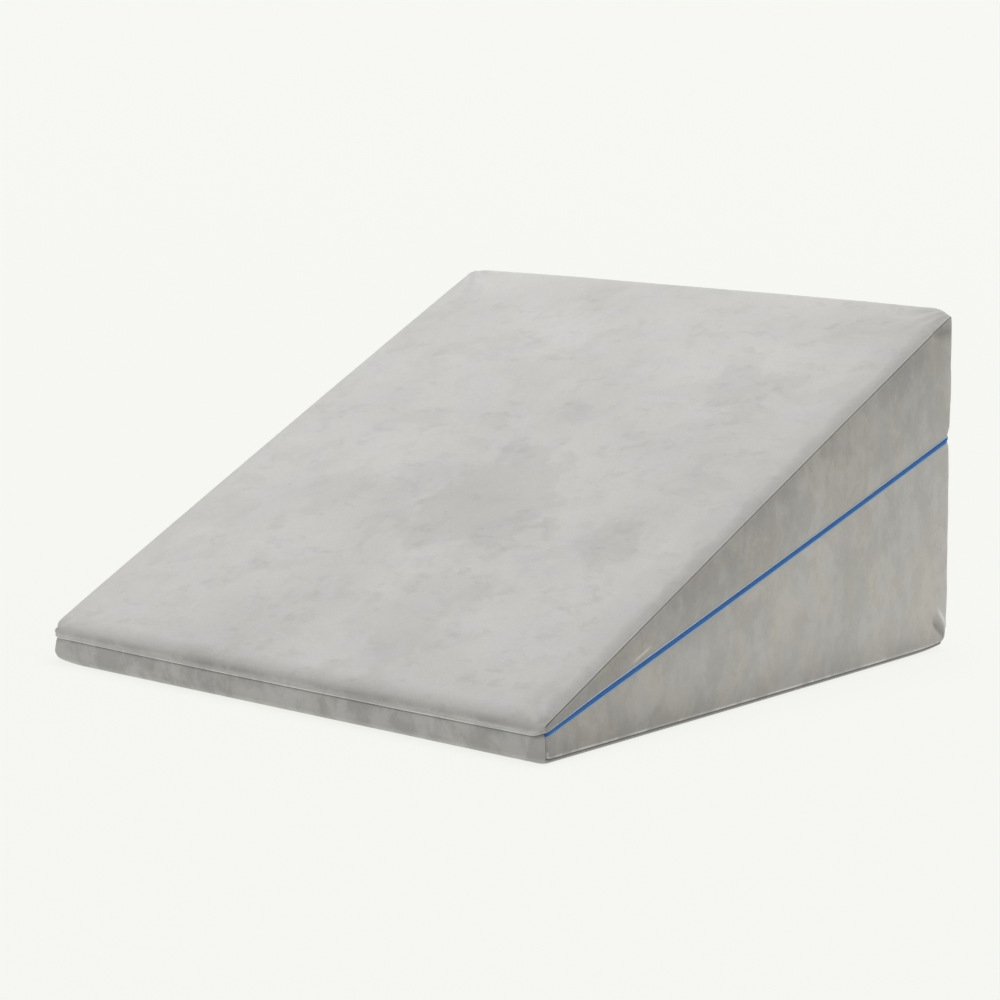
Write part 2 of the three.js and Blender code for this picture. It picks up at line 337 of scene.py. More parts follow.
def cushion_surface(cushion, s, xs, ys, layers):
    """Points, quads and surface measures of a filled cushion.

    Each grid point keeps its direction from the corner's centre. Where it lies in an edge rounding it is
    brought on to a quarter ellipse of that run and rise. Upright faces are pushed out by a parabola
    between their roundings. Heights are carried linearly from the floor surface to the roof surface.
    """
    (i, j, k), quads = lattice_skin(len(xs), len(ys), len(layers["panel"]))
    x, y = xs[i], ys[j]
    thickness = cushion["roof"](x, y, s) - cushion["floor"](x, y, s)
    inside_x = np.clip(x, s.corner - s.half_width, s.half_width - s.corner)
    inside_y = np.clip(y, s.corner - s.half_length, s.half_length - s.corner)
    dx, dy = x - inside_x, y - inside_y
    run_back = y + s.half_length
    low_run, low_rise = rounding(cushion["below"], dx, dy, thickness, run_back)
    high_run, high_rise = rounding(cushion["above"], dx, dy, thickness, run_back)
    upright = thickness - low_rise - high_rise
    scale = np.minimum(1, upright / MARGIN_ROOM)
    height = layers["below"][k] * low_rise + layers["above"][k] * high_rise
    height += layers["panel"][k] * upright + layers["margin"][k] * scale

    upper = layers["panel"][k] > 0.5
    run, rise = np.where(upper, high_run, low_run), np.where(upper, high_rise, low_rise)
    reach = np.maximum(np.abs(dx), np.abs(dy))
    out = np.maximum(0, reach - (s.corner - run)) / run
    past = np.maximum(0, rise - np.where(upper, thickness - height, height)) / rise
    rounds = (out > 0) & (past > 0)
    length = np.where(rounds, np.hypot(out, past), 1)
    rounded = rise * (1 - past / length)
    height = np.where(rounds, np.where(upper, thickness - rounded, rounded), height)
    reach = np.where(rounds, s.corner - run + run * out / length, reach)

    panel = np.clip((height - low_rise) / upright, 0, 1)
    cornerward = np.minimum(np.abs(x / s.half_width), np.abs(y / s.half_length))
    bulge = s.bulge * np.minimum(1, thickness / s.full_bulge) * (1 - CORNER_HOLD * cornerward ** HOLD_POWER)
    reach = reach + bulge * (1 - (2 * panel - 1) ** 2)

    direction = np.maximum(np.hypot(dx, dy), TINY)
    px, py = inside_x + reach * dx / direction, inside_y + reach * dy / direction
    floor = cushion["floor"](px, py, s)
    roof = cushion["roof"](px, py, s)
    pz = floor + (roof - floor) * height / thickness

    turned = np.where(rounds, np.arctan2(past, out), 0)  # how far round the edge, from the upright face
    round_corner = np.arctan2(np.abs(dy), np.abs(dx))
    in_corner = (np.abs(dx) > 0) & (np.abs(dy) > 0)
    on_side = (i == 0) | (i == len(xs) - 1)
    measures = {
        "on_side": on_side & ~(in_corner & (round_corner > SEAM_TURN + TURN_SLACK)),
        "upright_face": on_side | (j == 0) | (j == len(ys) - 1),
        "from_low": np.where(upper, upright, np.abs(height - low_rise)),
        "from_high": np.where(upper, np.abs(thickness - high_rise - height), upright),
        "low_arc": np.where(~upper, turned * (low_run + low_rise) / 2, 0),
        "high_arc": np.where(upper, turned * (high_run + high_rise) / 2, 0),
        "corner_arc": s.corner * np.abs(round_corner - SEAM_TURN),
        "in_corner": in_corner,
        "tall": upright > SHORTEST_SEAM,
        "panel": panel,
        "upper": upper,
        "over_seam": pz - (roof - high_rise),
        "over_floor": pz - floor,
        "flat": (k == 0) | (k == len(layers["panel"]) - 1),
        "thickness": thickness,
    }
    return np.stack([px, py, pz], -1), quads, measures


def outward(points, quads):
    """Unit normals at the points: the cross products of each quad's diagonals, summed at its corners."""
    first = points[quads[:, 2]] - points[quads[:, 0]]
    second = points[quads[:, 3]] - points[quads[:, 1]]
    cross = np.cross(first, second)
    total = np.zeros_like(points)
    for corner in range(4):
        np.add.at(total, quads[:, corner], cross)
    return total / np.maximum(np.linalg.norm(total, axis=1, keepdims=True), TINY)


# Depths of seams, puckers and creases

FAINT_SEAM = 0.0006  # the upright seams are this much fainter, as a distance
SEAM_HALF = 0.0007  # half width of the valley at a sewn line
PANEL_LIP = 0.0003  # the side panel stands proud by this much beside the valley
WRAP_LIP = 0.00008  # and the wrapped cover by this much
GROUND_LIP = 0.0007  # and the lower half of a side panel
LIP_AWAY = 0.0022
LIP_HALF = 0.0011


def seam_distance(cushion, m):
    """Distance from the nearest sewn line: along the upright panel, round the edge, or round the corner."""
    low = np.where(m["low_arc"] > 0, m["low_arc"], m["from_low"])
    high = np.where(m["high_arc"] > 0, m["high_arc"], m["from_high"])
    near = np.full(len(low), 1.0)
    if cushion["below"]["sewn"]:
        near = np.where(m["on_side"] & ~m["upper"], np.minimum(near, low), near)
    if cushion["above"]["sewn"]:
        near = np.where(m["on_side"] & m["upper"], np.minimum(near, high), near)
    past_low = cushion["below"]["sewn"] & (m["low_arc"] > 0)
    past_high = cushion["above"]["sewn"] & (m["high_arc"] > 0)
    upright = m["in_corner"] & m["upright_face"] & m["tall"] & ~past_low & ~past_high
    return np.where(upright, np.minimum(near, m["corner_arc"] + FAINT_SEAM), near)


def seam_relief(distance, m, s):
    """A bell-shaped valley on the sewn line, and a low bell-shaped lip beside it."""
    valley = s.seam_depth * bell(distance, SEAM_HALF)
    wrapped = (m["high_arc"] > 0) | (m["low_arc"] > 0)
    height = np.where(wrapped, WRAP_LIP, np.where(m["upper"], PANEL_LIP, GROUND_LIP))
    return height * bell(distance, LIP_HALF, LIP_AWAY) - valley


def waves(points, length, seed, count=14):
    """Smooth unevenness of about unit size: a sum of plane waves in seeded directions and phases."""
    rng = np.random.default_rng(seed)
    directions = rng.normal(size=(count, 3))
    directions /= np.linalg.norm(directions, axis=1, keepdims=True)
    numbers = 2 * np.pi / (length * rng.uniform(0.7, 1.5, count))
    phases = rng.uniform(0, 2 * np.pi, count)
    total = np.cos((points @ directions.T) * numbers + phases).sum(axis=1)
    return total / math.sqrt(count / 2)


SWELLS = table("depth length seed", (0.00035, 0.12, 3), (0.00012, 0.036, 8))  # soft unevenness
EDGE_CALM = 0.03  # the cover grows uneven over this distance from its outline
PANEL_CALM = 6  # a high number lets an upright face grow uneven close to its edges


def inner_share(points, m, s):
    """Nothing at a face's edges and up to one inside it.

    On the top it grows with the distance from the outline. On an upright face it is a clipped
    parabola of the height, less on a thin cushion.
    """
    from_outline = np.minimum(s.half_width - np.abs(points[:, 0]), s.half_length - np.abs(points[:, 1]))
    on_top = np.clip(from_outline / EDGE_CALM, 0, 1) * m["upper"]
    upright = np.clip(PANEL_CALM * m["panel"] * (1 - m["panel"]), 0, 1)
    upright = upright * np.minimum(1, m["thickness"] / s.full_bulge)
    return np.where(m["flat"], on_top, upright)


# Corners of the top where the cover is drawn down to its seam: how far it is felt, how much of the
# rise, and how far the tip comes down
CORNER_DROPS = table(
    "side end reach share tip",
    (1, 1, 0.011, 0.6, 0.0026),
    (-1, 1, 0.008, 0.3, 0.0015),
    (-1, -1, 0.020, 0.2, 0.0),
    (1, -1, 0.016, 0.35, 0.0),
)
TIP_REACH = 0.0065
TIP_FADE = 0.022  # how far down below the seam a tip's drop is felt


def from_corner(points, row, s):
    """Plan distance from the corner that a row names by its side and end."""
    dx = s.half_width - row["side"] * points[:, 0]
    dy = s.half_length - row["end"] * points[:, 1]
    return np.hypot(dx, dy)


def corner_drop(points, m, s):
    """The part above the side seam is lowered towards the seam, by a bell round each corner of the plan.

    The tip comes down with its seam, by a narrower bell that fades in proportion to the depth below it.
    """
    felt = np.clip(1 + m["over_seam"] / TIP_FADE, 0, 1) * m["upper"]
    total = np.zeros(len(points))
    for row in CORNER_DROPS:
        away = from_corner(points, row, s)
        total += row["share"] * bell(away, row["reach"]) * np.maximum(0, m["over_seam"]) * m["upper"]
        total += row["tip"] * bell(away, TIP_REACH) * felt
    return -total


# Where the underside is rolled up off the ground: along its sides, and at three of its corners
SIDE_LIFT = {"reach": 0.022, "rise": 0.0017, "power": 3}
CORNER_LIFTS = table(
    "side end reach rise",
    (1, 1, 0.028, 0.0030),
    (-1, 1, 0.026, 0.0030),
    (-1, -1, 0.020, 0.0030),
)
LIFT_FADE = 0.045  # height over the ground where the lift has died out
GROUND_TUCK = {"depth": 0.0046, "height": 0.002, "half": 0.0048, "reach": 0.010}


def ground_tuck(points, s):
    """The back corners are drawn in at their ground seam: a bell up the corner times a bell round it."""
    up = bell(points[:, 2], GROUND_TUCK["half"], GROUND_TUCK["height"])
    corners = table("side end", (-1, 1), (1, 1))
    near = sum(bell(from_corner(points, row, s), GROUND_TUCK["reach"]) for row in corners)
    return -GROUND_TUCK["depth"] * up * near


def ground_lift(points, s):
    """Bells by the distance from the sides and from each corner; they die out with height, squared.

    The sides' bell grows with a power of the run from the front.
    """
    from_side = s.half_width - np.abs(points[:, 0])
    run_share = np.clip((points[:, 1] / s.half_length + 1) / 2, 0, 1)
    total = SIDE_LIFT["rise"] * bell(from_side, SIDE_LIFT["reach"])
    total = total * run_share ** SIDE_LIFT["power"]
    for row in CORNER_LIFTS:
        total = total + row["rise"] * bell(from_corner(points, row, s), row["reach"])
    return total * np.clip(1 - points[:, 2] / LIFT_FADE, 0, 1) ** 2


LIP_ROLL = {"height": 0.0021, "half": 0.0012, "out": 0.0006}  # roll just over the front crease
LIP_BAND = {"height": 0.0066, "half": 0.0030, "out": -0.0008}  # soft band above the roll
LIP_CORNERS = table("side end reach share", (-1, -1, 0.016, 0.2), (1, -1, 0.012, 0.8))
LIP_DEEP = 0.024  # how far back from the front edge these are felt
LIP_FULL = 1.6  # over one, they keep their whole depth for a part of that way
LIP_UNEVEN = {"share": 0.3, "length": 0.09, "seed": 5}


def front_lip(points, m, s):
    """Two bells across the front lip by the height over the crease: a roll, and a soft band above it."""
    from_front = points[:, 1] + s.half_length
    felt = np.clip(LIP_FULL * (1 - from_front / LIP_DEEP), 0, 1)
    across = points * np.array([1, 0, 0])
    uneven = 1 + LIP_UNEVEN["share"] * waves(across, LIP_UNEVEN["length"], LIP_UNEVEN["seed"])
    stronger = 1 + sum(row["share"] * bell(from_corner(points, row, s), row["reach"]) for row in LIP_CORNERS)
    roll, band = (
        row["out"] * bell(m["over_floor"], row["half"], row["height"]) for row in (LIP_ROLL, LIP_BAND))
    return (roll * stronger + band) * felt * uneven


# Creases that are drawn from a corner of the top: turn in degrees from the side seam
CORNER_PULLS = table(
    "turn reach half out",
    (8, 0.060, 0.0028, -0.0012),
    (17, 0.065, 0.0034, 0.0013),
    (29, 0.060, 0.0034, -0.0019),
    (43, 0.060, 0.0038, 0.0012),
    (58, 0.055, 0.0040, -0.0017),
    (72, 0.045, 0.0036, 0.0009),
)
PULL_START = 0.12  # share of its reach where a crease has set in
PULL_WIDTH = 0.6  # share of its half width that a crease has at the corner
PULLED_CORNERS = table("side end share", (1, 1, 1.35), (-1, 1, 0.5), (1, -1, 0.25), (-1, -1, 0.4))


def corner_pulls(points, side, end, s):
    """Creases along rays from a corner: each a bell across its ray that widens outwards and dies out."""
    dx, dy = s.half_width - side * points[:, 0], s.half_length - end * points[:, 1]
    total = np.zeros(len(points))
    for pull in CORNER_PULLS:
        turn = math.radians(pull["turn"])
        along = dy * math.cos(turn) + dx * math.sin(turn)
        across = dx * math.cos(turn) - dy * math.sin(turn)
        share = np.maximum(along, 0) / pull["reach"]
        width = pull["half"] * (PULL_WIDTH + share)
        strength = np.clip(share / PULL_START, 0, 1) * bell(share, 1)
        total += pull["out"] * strength * bell(across, width)
    return total


# Creases in a side panel, as lines from one run and height to another
UPPER_CREASES = table(
    "side run up run_end up_end half out",
    (1, 0.570, 0.3060, 0.604, 0.3080, 0.0060, -0.0026),
    (-1, 0.520, 0.2760, 0.590, 0.2960, 0.0060, -0.0014),
)
LOWER_CREASES = table(
    "side run up run_end up_end half out",
    (1, 0.5790, 0.0320, 0.6000, 0.0130, 0.0034, -0.0028),
    (1, 0.5860, 0.0400, 0.6035, 0.0210, 0.0030, 0.0018),
    (-1, 0.5850, 0.0330, 0.6010, 0.0170, 0.0035, -0.0016),
)


def side_creases(points, rows, s):
    """Bells across short lines drawn on a side panel, by the distance from the line's nearest point."""
    run, up = points[:, 1] + s.half_length, points[:, 2]
    total = np.zeros(len(points))
    for row in rows:
        long_run, long_up = row["run_end"] - row["run"], row["up_end"] - row["up"]
        length = math.hypot(long_run, long_up)
        share = ((run - row["run"]) * long_run + (up - row["up"]) * long_up) / length ** 2
        held = np.clip(share, 0, 1)
        away = np.hypot(run - row["run"] - held * long_run, up - row["up"] - held * long_up)
        near_side = row["side"] * points[:, 0] > s.half_width - s.corner
        fade = np.sqrt(np.maximum(0, 4 * held * (1 - held)))
        total += row["out"] * fade * bell(away, row["half"]) * near_side
    return total


# Making meshes

def mesh_object(name, points, quads, values=None, uv=None):
    """A smooth mesh object of that name, with its place in its mesh."""
    mesh = bpy.data.meshes.new(name)
    mesh.vertices.add(len(points))
    mesh.vertices.foreach_set("co", points.astype(np.float32).ravel())
    mesh.loops.add(quads.size)
    mesh.loops.foreach_set("vertex_index", quads.astype(np.int32).ravel())
    mesh.polygons.add(len(quads))
    mesh.polygons.foreach_set("loop_start", np.arange(0, quads.size, 4, dtype=np.int32))
    mesh.polygons.foreach_set("use_smooth", np.ones(len(quads), bool))
    for key, value in (values or {}).items():
        attribute = mesh.attributes.new(key, "FLOAT", "POINT")
        attribute.data.foreach_set("value", value.astype(np.float32))
    if uv is not None:
        layer = mesh.uv_layers.new(name="weave")
        layer.uv.foreach_set("vector", uv[quads.ravel()].astype(np.float32).ravel())
    mesh.update(calc_edges=True)
    mesh.validate()
    made = bpy.data.objects.new(name, mesh)
    bpy.context.scene.collection.objects.link(made)
    return made


def placed(points, s):
    """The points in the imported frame: the built tape's back edge says how far they shift along Y."""
    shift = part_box("zip_tape")[1].y - (s.half_length - TAPE_FACE)
    return points + np.array([0, shift, 0])


def finished(made, material, node):
    """Gives a piece its material, hides the imported part that it stands for, and hangs it on its body."""
    made.data.materials.append(material)
    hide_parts(node)
    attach(made, BODY)


# Materials

# How a mask or a tone goes over: from its value at low to its value at high
FADES = {row["name"]: row for row in table(
    "name low high at_low at_high",
    # Rows near seam, far seam, foot, ground, lip band, wrap and seam set painted shade; edge light sets
    # painted highlight
    ("near seam", 0.004, 0.014, 0.24, 0.0),
    ("far seam", 0.010, 0.050, 0.12, 0.0),
    ("foot", 0.005, 0.027, 0.23, 0.0),
    ("ground", 0.0, 0.045, 0.22, 0.52),
    ("strip", 0.0, 1.0, -0.22, 0.14),
    ("lip band", 0.0, 1.0, 0.24, 0.0),
    ("edge light", 0.0, 1.0, 0.3, 0.8),
    ("wrap", 0.0008, 0.010, 0.10, 0.0),
    ("seam", 0.0001, 0.001, 0.75, 0.0),
    ("side tint", 0.0, 1.0, 0.5, 1.0),
    ("speckle", 0.25, 0.75, 0.955, 1.045),
    ("pile roughness", 0.0, 1.0, 0.97, 0.88),
    ("ribs", 0.0, 1.0, 0.4, 1.0),
    ("threads", 0.0, 1.0, 0.6, 1.0),
    ("worn", 0.3, 0.7, 0.8, 1.1),
    ("upper edge starts", 0.0001, 0.0006, 0.0, 1.0),
    ("upper edge ends", 0.0040, 0.005, 1.0, 0.0),
    ("lower edge starts", 0.0120, 0.0126, 0.0, 1.0),
    ("lower edge ends", 0.0137, 0.0143, 0.6, 0.0),
    ("tape roughness", 0.0, 1.0, 0.75, 0.6),
    ("scuffs", 0.3, 0.7, 0.0, 1.0),
    ("teeth roughness", 0.3, 0.7, 0.34, 0.5),
)}


class Graph:
    """Adds nodes to one material and joins them."""

    def __init__(self, name):
        self.material = bpy.data.materials.new(name)
        self.material.use_nodes = True
        self.tree = self.material.node_tree
        self.tree.nodes.clear()
        output = self.add("ShaderNodeOutputMaterial")
        self.shader = self.add("ShaderNodeBsdfPrincipled")
        self.join(self.shader.outputs["BSDF"], output.inputs["Surface"])

    def join(self, start, end):
        self.tree.links.new(start, end)

    def feed(self, node, key, value):
        if isinstance(value, bpy.types.NodeSocket):
            self.join(value, node.inputs[key])
        else:
            node.inputs[key].default_value = value

    def add(self, kind, inputs=None, **settings):
        node = self.tree.nodes.new(kind)
        for key, value in settings.items():
            setattr(node, key, value)
        for key, value in (inputs or {}).items():
            self.feed(node, key, value)
        return node

    def surface(self, inputs):
        for key, value in inputs.items():
            self.feed(self.shader, key, value)

    def noise(self, vector, scale, detail=3.0, roughness=0.5, distortion=0.0):
        values = {"Vector": vector, "Scale": scale, "Detail": detail}
        values.update({"Roughness": roughness, "Distortion": distortion})
        return self.add("ShaderNodeTexNoise", values).outputs["Fac"]

    def maths(self, operation, first, second, clamp=False):
        inputs = {0: first, 1: second}
        return self.add("ShaderNodeMath", inputs, operation=operation, use_clamp=clamp).outputs[0]

    def plus(self, first, second, clamp=False):
        return self.maths("ADD", first, second, clamp)

    def less(self, first, second):
        return self.maths("SUBTRACT", first, second)

    def times(self, first, second, clamp=False):
        return self.maths("MULTIPLY", first, second, clamp)

    def spread(self, value, low, high, new_low=0.0, new_high=1.0):
        values = {"Value": value, "From Min": low, "From Max": high, "To Min": new_low, "To Max": new_high}
        return self.add("ShaderNodeMapRange", values).outputs["Result"]

    def fade(self, name, value):
        row = FADES[name]
        return self.spread(value, row["low"], row["high"], row["at_low"], row["at_high"])

    def either(self, factor, first, second):
        return self.add("ShaderNodeMix", {0: factor, 2: first, 3: second}, data_type="FLOAT").outputs[0]

    def blend(self, factor, first, second, kind="MIX"):
        inputs = {0: factor, 6: first, 7: second}
        return self.add("ShaderNodeMix", inputs, data_type="RGBA", blend_type=kind).outputs[2]

    def mapped(self, vector, scale):
        return self.add("ShaderNodeMapping", {"Vector": vector, "Scale": scale}).outputs["Vector"]

    def bump(self, height, strength, distance, normal=None):
        inputs = {"Height": height, "Strength": strength, "Distance": distance}
        if normal is not None:
            inputs["Normal"] = normal
        return self.add("ShaderNodeBump", inputs).outputs["Normal"]

    def attribute(self, name):
        return self.add("ShaderNodeAttribute", attribute_name=name).outputs["Fac"]

    def place(self):
        return self.add("ShaderNodeTexCoord").outputs["Object"]


def solid(colour):
    return (*colour, 1.0)


# Patterns of the pile: a noise in a stretched space, and the band of it that is spread from 0 to 1
PATTERNS = table(
    "name turned stretch scale detail roughness distortion low high",
    ("patches", True, (1.0, 1.3, 1.0), 17.0, 9.0, 0.62, 0.5, 0.52, 0.60),
    ("dashes", True, (0.8, 1.3, 1.0), 48.0, 7.0, 0.62, 0.6, 0.565, 0.66),
    ("blots", False, (1.0, 1.0, 0.8), 34.0, 6.0, 0.66, 0.15, 0.44, 0.57),
    ("flecks", False, (1.0, 1.0, 0.75), 85.0, 5.0, 0.6, 0.15, 0.42, 0.60),
    ("strokes", False, (110.0, 110.0, 34.0), 1.0, 5.0, 0.62, 0.3, 0.36, 0.64),
    ("hues", False, (1.0, 1.0, 0.8), 21.0, 5.0, 0.6, 0.4, 0.42, 0.58),
)
NOISES = {
    "clouds": {"scale": 6.5, "detail": 2.0, "roughness": 0.5, "distortion": 0.2},
    "ragged": {"scale": 24.0, "detail": 8.0, "roughness": 0.62, "distortion": 0.4},
    "grain": {"scale": 750.0, "detail": 2.0, "roughness": 0.6},
    "tufts": {"scale": 260.0, "detail": 3.0, "roughness": 0.65},
}
# How much each pattern lightens or darkens the nap
TOP_WEIGHTS = {"clouds": 0.55, "patches": -0.10, "dashes": -0.15, "flecks": 0.04}
SIDE_WEIGHTS = {"clouds": 0.7, "blots": 0.22, "flecks": 0.09, "strokes": 0.035}
BUMPS = table(
    "name strength distance",
    ("nap", 0.2, 0.004),
    ("fold", 0.8, 0.0012),
    ("tufts", 0.35, 0.0005),
    ("grain", 0.35, 0.0003),
)

# Places on the top where the pile is brushed the other way: middle, radius, and change of tone
BRUSHED = table(
    "x y radius tone",
    (0.027, -0.060, 0.088, -0.17),
    (0.200, -0.090, 0.040, -0.12),
    (0.168, 0.146, 0.036, -0.13),
    (-0.158, -0.075, 0.040, -0.10),
    (0.080, -0.215, 0.060, -0.10),
    (-0.060, 0.140, 0.050, -0.08),
)
BRUSH_TURN = math.radians(-10)  # strokes on the top run this way across it
BRUSH_EDGE = (0.72, 1.02)  # a brushed place ends between these shares of its radius
RAGGED_GAIN = 2.6  # how ragged its edge is, as a share of its radius
SEAM_RAGGED = 0.008  # how ragged the shade beside the top's right seam is, for each unit of that

# Painted light: the velour grows lighter towards the back, on the top towards the left, and on the sides low
# down
TOP_LIGHT_GRADIENT = {"along": 0.42, "across": -0.25}
SIDE_LIGHT_GRADIENT = {"along": 1.15, "up": -1.3, "middle": 0.13}
# Painted shade on the upper side panel's brow, below the top seam
BROW_SHARE = -0.36
# Strength of the painted highlight on the roll over the dent
ROLL_SHARE = 0.75
# Strength of the painted shade below the ground seam
UNDER_SHARE = 0.62

# Painted shade in dents and creases of the right side panels, as lines from one run and height to another
DENT_SHADES = table(
    "run up run_end up_end half share",
    (0.5760, 0.0355, 0.6100, 0.0070, 0.0036, 0.45),
    (0.5680, 0.3065, 0.6150, 0.3105, 0.0055, 0.34),
    (0.4950, 0.0125, 0.5850, 0.0110, 0.0040, 0.16),
)
# Painted highlight on the top of the roll over the lower panel's dent
ROLL_LIGHT = {"run": 0.5840, "up": 0.0450, "run_end": 0.6090, "up_end": 0.0155, "half": 0.0022}
# A fold of the upper side panel beside the zip, with a painted highlight along it
FOLD_LINE = {"run": 0.1155, "up": 0.0665, "run_end": 0.1455, "up_end": 0.0795, "half": 0.0014}
LINE_WIDTH = 1.6  # a line's tone falls to nothing at this many half widths
LINE_SHARES = (0.3, 0.75)  # it has set in at the first share of its length, and fades from the second
RIGHT_PAST = 0.29  # only what lies past this X is marked


def line_mask(g, spot, row, half_length):
    """A straight-sided ridge along a line of the right side's plane, which fades at both its ends."""
    long_run, long_up = row["run_end"] - row["run"], row["up_end"] - row["up"]
    length = math.hypot(long_run, long_up)
    run = g.less(spot.outputs["Y"], row["run"] - half_length)
    up = g.less(spot.outputs["Z"], row["up"])
    along = g.plus(g.times(run, long_run / length), g.times(up, long_up / length))
    across = g.less(g.times(up, long_run / length), g.times(run, long_up / length))
    near = g.spread(g.maths("ABSOLUTE", across, 0.0), 0.0, LINE_WIDTH * row["half"], 1.0, 0.0)
    starts = g.spread(along, 0.0, LINE_SHARES[0] * length)
    ends = g.spread(along, LINE_SHARES[1] * length, length, 1.0, 0.0)
    right = g.maths("GREATER_THAN", spot.outputs["X"], RIGHT_PAST)
    return g.times(g.times(near, right), g.times(starts, ends))


def nap_patterns(g, place, turned):
    """The pile's patterns by name, each between 0 and 1."""
    made = {"clouds": g.noise(place, **NOISES["clouds"])}
    for row in PATTERNS:
        space = g.mapped(turned if row["turned"] else place, row["stretch"])
        noise = g.noise(space, row["scale"], row["detail"], row["roughness"], row["distortion"])
        made[row["name"]] = g.spread(noise, row["low"], row["high"])
    return made


def weighed(g, patterns, weights):
    """The sum of the patterns' differences from a half, each times its weight."""
    total = None
    for name, weight in weights.items():
        part = g.times(g.less(patterns[name], 0.5), weight)
        total = part if total is None else g.plus(total, part)
    return total


def velour_nap(g, patterns, ragged, place, spot, side):
    """The nap's own unevenness, and the share of light nap, which also carries painted light and shade.

    Painted light makes the share larger towards the back, on the top also towards the left, and on the
    sides low down. Painted shade makes it smaller close to the ground and below the top seam.
    """
    plan = g.mapped(place, (1.0, 1.0, 0.0))
    brushed = weighed(g, patterns, TOP_WEIGHTS)
    for row in BRUSHED:
        ends = {0: plan, 1: (row["x"], row["y"], 0.0)}
        away = g.add("ShaderNodeVectorMath", ends, operation="DISTANCE").outputs["Value"]
        level = g.plus(g.maths("DIVIDE", away, row["radius"]), ragged)
        brushed = g.plus(brushed, g.spread(level, *BRUSH_EDGE, row["tone"], 0.0))
    brushed = g.plus(brushed, g.times(g.attribute("strip"), g.fade("strip", patterns["blots"])))
    upright = g.plus(weighed(g, patterns, SIDE_WEIGHTS), g.times(g.attribute("brow"), BROW_SHARE))
    nap = g.either(side, brushed, upright)
    x, y, z = (spot.outputs[axis] for axis in "XYZ")
    level = g.plus(g.times(y, TOP_LIGHT_GRADIENT["along"]), g.times(x, TOP_LIGHT_GRADIENT["across"]))
    raised = g.times(g.less(z, SIDE_LIGHT_GRADIENT["middle"]), SIDE_LIGHT_GRADIENT["up"])
    steep = g.plus(g.times(y, SIDE_LIGHT_GRADIENT["along"]), raised)
    share = g.plus(g.plus(nap, g.either(side, level, steep)), g.fade("ground", z), True)
    return nap, share


def velour_material(look, half_width, half_length):
    """Short pile: brushed zones, patches and dashes on the top, blots and upright strokes on the sides, with
    painted shade and highlights.
    """
    g = Graph("velour")
    place = g.place()
    side = g.attribute("side_panel")
    spot = g.add("ShaderNodeSeparateXYZ", {0: place})
    turned = g.add("ShaderNodeMapping", {"Vector": place, "Rotation": (0, 0, BRUSH_TURN)}).outputs["Vector"]
    patterns = nap_patterns(g, place, turned)
    ragged = g.times(g.less(g.noise(turned, **NOISES["ragged"]), 0.5), RAGGED_GAIN)
    nap, share = velour_nap(g, patterns, ragged, place, spot, side)
    colour = g.blend(share, solid(look.dark_nap), solid(look.light_nap))
    # Painted shade and the cloth's warm cast on the side panels
    colour = g.blend(side, colour, g.blend(1.0, colour, solid(look.side_shade_and_tint), "MULTIPLY"))
    tint = g.blend(patterns["hues"], solid(look.warm_tint), solid(look.cool_tint))
    colour = g.blend(g.fade("side tint", side), colour, g.blend(1.0, colour, tint, "MULTIPLY"))
    grain = g.noise(place, **NOISES["grain"])
    colour = g.blend(1.0, colour, g.fade("speckle", grain), "MULTIPLY")

    fold = line_mask(g, spot, FOLD_LINE, half_length)
    # Painted shade beside the top's right seam, where the top rounds away
    seam_side = g.plus(g.less(half_width, spot.outputs["X"]), g.times(ragged, SEAM_RAGGED))
    beside = g.plus(g.fade("near seam", seam_side), g.fade("far seam", seam_side))
    gap = g.attribute("seam_gap")
    blots = patterns["blots"]
    shade, light = look.seam_shade, look.painted_highlight
    # Painted marks, in order: highlight along the fold, shade beside the top's right seam, shade near the
    # ground, shade in dents, highlight on the roll over a dent, shade under the front lip, highlights on
    # rolled edges, shade on the wrapped cover beside its seams, shade in the sewn lines over partly pressed
    # pile, shade below the ground seam
    marks = [
        (fold, look.fold_light),
        (g.times(beside, g.attribute("top_face")), shade),
        (g.times(side, g.fade("foot", spot.outputs["Z"])), shade),
        *[(g.times(line_mask(g, spot, row, half_length), row["share"]), shade) for row in DENT_SHADES],
        (g.times(line_mask(g, spot, ROLL_LIGHT, half_length), ROLL_SHARE), light),
        (g.times(g.attribute("lip_band"), g.fade("lip band", blots)), shade),
        (g.times(g.attribute("edge_light"), g.fade("edge light", blots)), light),
        (g.times(g.less(1.0, side), g.fade("wrap", gap)), shade),
        (g.fade("seam", gap), shade),
        (g.times(g.attribute("under_seam"), UNDER_SHARE), shade),
    ]
    for mask, tone in marks:
        colour = g.blend(mask, colour, solid(tone))

    heights = {"nap": nap, "fold": fold, "tufts": g.noise(place, **NOISES["tufts"]), "grain": grain}
    normal = None
    for row in BUMPS:
        normal = g.bump(heights[row["name"]], row["strength"], row["distance"], normal)
    g.surface({
        "Base Color": colour,
        "Roughness": g.fade("pile roughness", share),
        "Sheen Weight": look.sheen,
        "Sheen Roughness": 0.42,
        "Sheen Tint": solid(look.sheen_tint),
        "Specular IOR Level": 0.2,
        "Normal": normal,
    })
    return g.material


RIBS = 1500.0  # scale of the ribs that run along the tape
THREADS = 900.0  # scale of the threads that cross them


